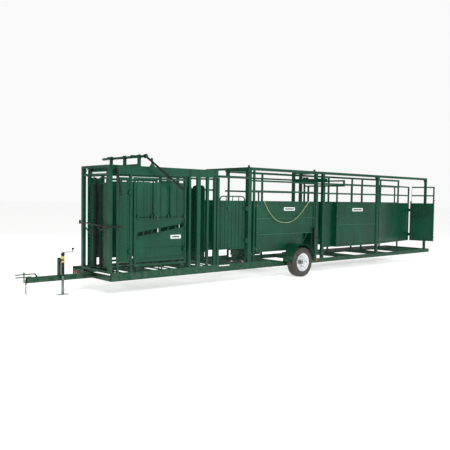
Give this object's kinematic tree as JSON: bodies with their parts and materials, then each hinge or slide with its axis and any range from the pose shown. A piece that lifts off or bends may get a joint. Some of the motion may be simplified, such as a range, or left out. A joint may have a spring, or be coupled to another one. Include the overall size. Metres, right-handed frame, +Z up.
{
  "type": "portable cattle squeeze chute with alley",
  "caption": "Two-wheeled portable cattle handling system: head gate, squeeze cage, palpation cage and narrow alley with sliding and swinging gates, in green painted steel.",
  "frame": {"origin": "on the ground under the middle of the whole object's bounding box", "axes": "+X along the frame from the hitch and head gate towards the alley's entry, +Y away from the operator's side, +Z up"},
  "size_m": [12.63, 2.568, 2.622],
  "materials": {
    "green_paint": "gloss",
    "dark_green_paint": "satin",
    "white_paint": "gloss",
    "black_paint": "satin",
    "zinc_steel": "satin",
    "tyre_rubber": "matte",
    "black_rubber": "matte",
    "red_lens": "gloss",
    "rope_fibre": "matte"
  },
  "bodies": {
    "frame": {"near_rail": "green_paint", "far_rail": "green_paint", "floor_frame": "green_paint", "floor_slats": "green_paint", "tongue": "green_paint", "hitch_straps": "green_paint", "axle_stubs": "green_paint", "near_fender": "green_paint", "far_fender": "green_paint", "marker_lights": "red_lens", "headgate_frame": "green_paint", "headgate_top_box": "green_paint", "near_posts": "green_paint", "far_posts": "green_paint", "top_beams": "green_paint", "shaft_uprights": "green_paint", "front_arch": "green_paint", "near_alley_wall": "green_paint", "far_alley_wall": "green_paint", "slide_gate_arch": "green_paint", "near_chute_wall": "green_paint", "far_chute_wall": "green_paint", "rear_posts": "green_paint", "upper_rails": "green_paint", "catwalk": "dark_green_paint", "spring_latch": "black_paint", "rope": "rope_fibre"},
    "near_wheel": {"near_tyre": "tyre_rubber", "near_rim": "white_paint", "near_hub": "zinc_steel"},
    "far_wheel": {"far_tyre": "tyre_rubber", "far_rim": "white_paint", "far_hub": "zinc_steel"},
    "hitch_pin": {"hitch_pin": "zinc_steel"},
    "chain": {"safety_chain": "zinc_steel"},
    "jack": {"jack_body": "black_paint"},
    "jack_leg": {"jack_leg": "zinc_steel"},
    "jack_crank": {"jack_crank": "zinc_steel"},
    "near_head_door": {"near_head_door": "green_paint", "near_neck_pad": "black_rubber"},
    "far_head_door": {"far_head_door": "green_paint", "far_neck_pad": "black_rubber"},
    "head_lever": {"headgate_lever": "black_paint"},
    "release": {"release_handle": "black_paint"},
    "nose_bar": {"nose_bar": "black_paint"},
    "neck_door": {"neck_door": "green_paint"},
    "control": {"control_shaft": "green_paint", "squeeze_lever": "black_paint"},
    "near_squeeze": {"near_squeeze_side": "green_paint"},
    "side_door": {"side_door": "green_paint"},
    "drop_front": {"drop_panel_front": "green_paint"},
    "drop_middle": {"drop_panel_middle": "green_paint"},
    "drop_rear": {"drop_panel_rear": "green_paint"},
    "far_squeeze": {"far_squeeze_side": "green_paint"},
    "near_tail": {"near_tail_gate": "green_paint"},
    "far_tail": {"far_tail_gate": "green_paint"},
    "cage_door": {"cage_door": "green_paint"},
    "slide_gate": {"slide_gate": "green_paint"},
    "side_gate": {"side_gate": "green_paint"},
    "wing_gate": {"wing_gate": "green_paint"}
  },
  "joints": [
    {"name": "near_wheel_spin", "type": "hinge", "parent": "frame", "child": "near_wheel", "pos_m": [0.085, -0.7695, 0.344], "axis": [0, 1, 0], "continuous": true},
    {"name": "far_wheel_spin", "type": "hinge", "parent": "frame", "child": "far_wheel", "pos_m": [0.085, 1.1815, 0.344], "axis": [0, 1, 0], "continuous": true},
    {"name": "hitch_pin_lift", "type": "slide", "parent": "frame", "child": "hitch_pin", "axis": [0, 0, 1], "range_m": [0, 0.15]},
    {"name": "chain_swing", "type": "hinge", "parent": "frame", "child": "chain", "pos_m": [-6.127, 0.206, 0.2385], "axis": [0, 1, 0], "range_deg": [-60, 60]},
    {"name": "jack_swivel", "type": "hinge", "parent": "frame", "child": "jack", "pos_m": [-5.495, 0.146, 0.63], "axis": [0, 1, 0], "range_deg": [0, 90]},
    {"name": "jack_extend", "type": "slide", "parent": "jack", "child": "jack_leg", "axis": [0, 0, 1], "range_m": [0, 0.25]},
    {"name": "jack_crank_turn", "type": "hinge", "parent": "jack", "child": "jack_crank", "pos_m": [-5.465, 0.114, 0.77], "axis": [0, 0, 1], "range_deg": [0, 14200]},
    {"name": "near_door_slide", "type": "slide", "parent": "frame", "child": "near_head_door", "axis": [0, -1, 0], "range_m": [-0.04, 0.26]},
    {"name": "far_door_slide", "type": "slide", "parent": "frame", "child": "far_head_door", "axis": [0, 1, 0], "range_m": [-0.04, 0.26]},
    {"name": "head_lever_swing", "type": "hinge", "parent": "frame", "child": "head_lever", "pos_m": [-4.795, -0.654, 2.37], "axis": [0, -1, 0], "range_deg": [-12, 75]},
    {"name": "release_swing", "type": "hinge", "parent": "frame", "child": "release", "pos_m": [-4.902, 0.176, 2.02], "axis": [0, 1, 0], "range_deg": [0, 30]},
    {"name": "nose_bar_swing", "type": "hinge", "parent": "frame", "child": "nose_bar", "pos_m": [-4.922, 0.5, 1.32], "axis": [0, 0, -1], "range_deg": [0, 100]},
    {"name": "neck_door_swing", "type": "hinge", "parent": "frame", "child": "neck_door", "pos_m": [-4.453, -0.57, 1.345], "axis": [0, 0, 1], "range_deg": [0, 100]},
    {"name": "near_side_tilt", "type": "hinge", "parent": "frame", "child": "near_squeeze", "pos_m": [-3.73, -0.519, 0.47], "axis": [-1, 0, 0], "range_deg": [0, 8]},
    {"name": "far_side_tilt", "type": "hinge", "parent": "frame", "child": "far_squeeze", "pos_m": [-3.73, 0.491, 0.47], "axis": [1, 0, 0], "range_deg": [0, 8]},
    {"name": "control_shaft_turn", "type": "hinge", "parent": "frame", "child": "control", "pos_m": [-4.235, -0.014, 2.58], "axis": [0, 1, 0], "range_deg": [0, 60]},
    {"name": "side_door_swing", "type": "hinge", "parent": "near_squeeze", "child": "side_door", "pos_m": [-3.163, -0.57, 1.035], "axis": [0, 0, 1], "range_deg": [0, 110]},
    {"name": "drop_front_swing", "type": "hinge", "parent": "near_squeeze", "child": "drop_front", "pos_m": [-4.1185, -0.553, 1.418], "axis": [1, 0, 0], "range_deg": [0, 160]},
    {"name": "drop_middle_swing", "type": "hinge", "parent": "near_squeeze", "child": "drop_middle", "pos_m": [-3.7315, -0.553, 1.418], "axis": [1, 0, 0], "range_deg": [0, 160]},
    {"name": "drop_rear_swing", "type": "hinge", "parent": "near_squeeze", "child": "drop_rear", "pos_m": [-3.34, -0.553, 1.418], "axis": [1, 0, 0], "range_deg": [0, 12]},
    {"name": "near_tail_swing", "type": "hinge", "parent": "frame", "child": "near_tail", "pos_m": [-2.56, -0.469, 1.235], "axis": [0, 0, 1], "range_deg": [0, 85]},
    {"name": "far_tail_swing", "type": "hinge", "parent": "frame", "child": "far_tail", "pos_m": [-2.56, 0.441, 1.235], "axis": [0, 0, -1], "range_deg": [0, 85]},
    {"name": "cage_door_swing", "type": "hinge", "parent": "frame", "child": "cage_door", "pos_m": [-1.469, -0.57, 1.245], "axis": [0, 0, 1], "range_deg": [0, 100]},
    {"name": "slide_gate_travel", "type": "slide", "parent": "frame", "child": "slide_gate", "axis": [0, -1, 0], "range_m": [0, 0.64]},
    {"name": "side_gate_swing", "type": "hinge", "parent": "frame", "child": "side_gate", "pos_m": [3.603, -0.52, 1.165], "axis": [0, 0, -1], "range_deg": [0, 95]},
    {"name": "wing_gate_swing", "type": "hinge", "parent": "side_gate", "child": "wing_gate", "pos_m": [5.79394, -0.16033, 1.165], "axis": [0, 0, -1], "range_deg": [0, 75]}
  ],
  "couplings": [
    {"joint": "far_door_slide", "follows": "near_door_slide", "ratio": 1},
    {"joint": "head_lever_swing", "follows": "near_door_slide", "rad_per_m": 5},
    {"joint": "far_side_tilt", "follows": "near_side_tilt", "ratio": 1},
    {"joint": "control_shaft_turn", "follows": "near_side_tilt", "ratio": 7.5},
    {"joint": "far_tail_swing", "follows": "near_tail_swing", "ratio": 1},
    {"joint": "jack_crank_turn", "follows": "jack_extend", "rad_per_m": 989.48}
  ]
}
